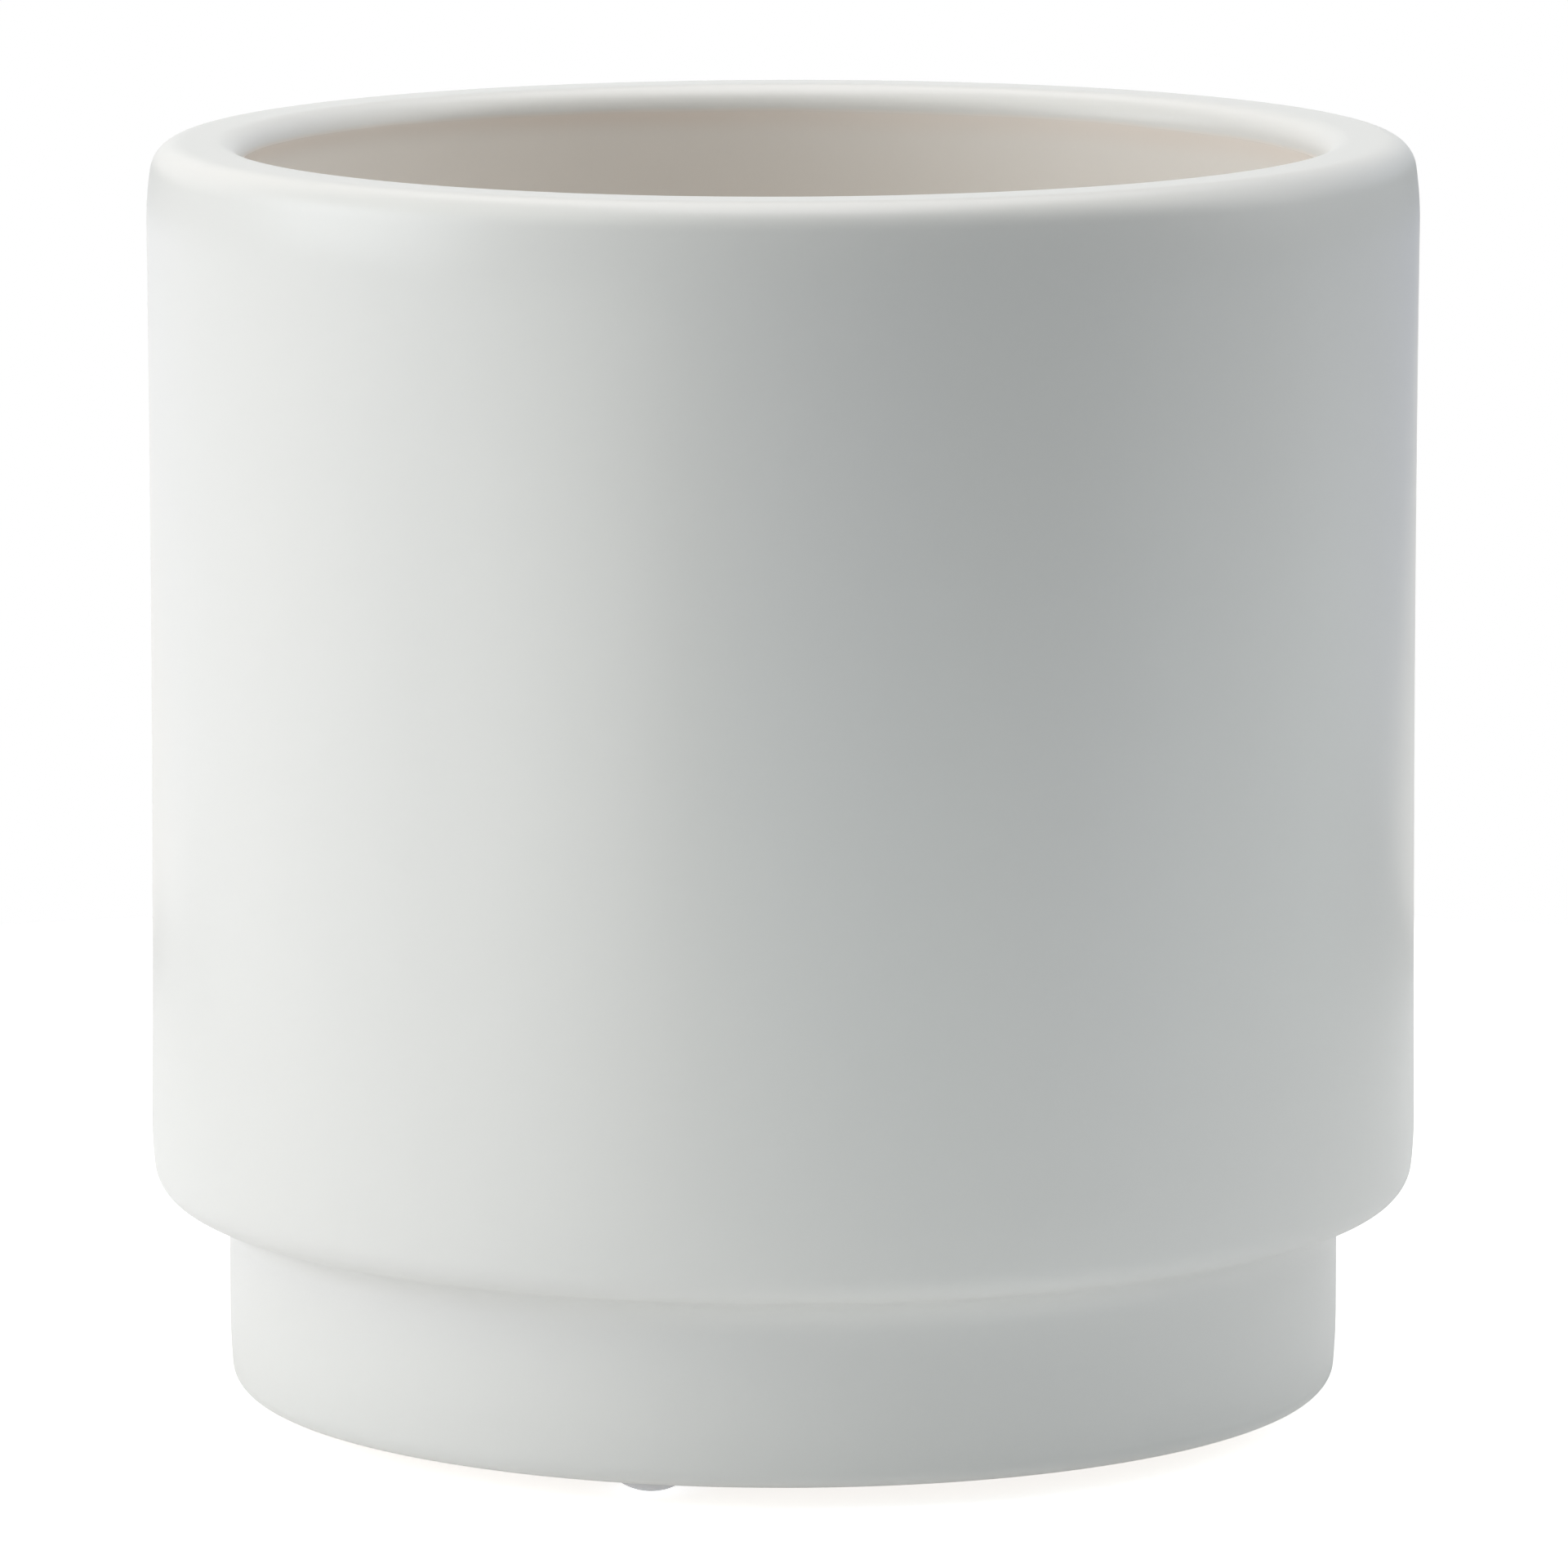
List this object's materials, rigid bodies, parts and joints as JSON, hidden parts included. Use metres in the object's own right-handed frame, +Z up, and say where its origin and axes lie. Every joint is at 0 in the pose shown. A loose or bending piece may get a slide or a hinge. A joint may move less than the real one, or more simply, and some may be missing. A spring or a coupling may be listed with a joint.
{
  "type": "pen holder cup",
  "caption": "Squat cylindrical ceramic cup with a thick rounded rim, turned in below onto a slightly narrower foot, standing on small clear domed bumpers; holds pens on a desk.",
  "frame": {"origin": "on the cup's axis, on the surface that the bumpers stand on", "axes": "+Z up along the cup's axis; -Y towards the viewer of the front"},
  "size_m": [0.0962, 0.0962, 0.0969],
  "materials": {
    "glazed_stoneware": "white satin glaze over warm buff stoneware",
    "clear_bumper": "clear soft polyurethane, smooth"
  },
  "bodies": {
    "root": {"cup_body": "glazed_stoneware", "bumper_front_left": "clear_bumper", "bumper_front_right": "clear_bumper", "bumper_rear_right": "clear_bumper", "bumper_rear_left": "clear_bumper"}
  },
  "joints": []
}
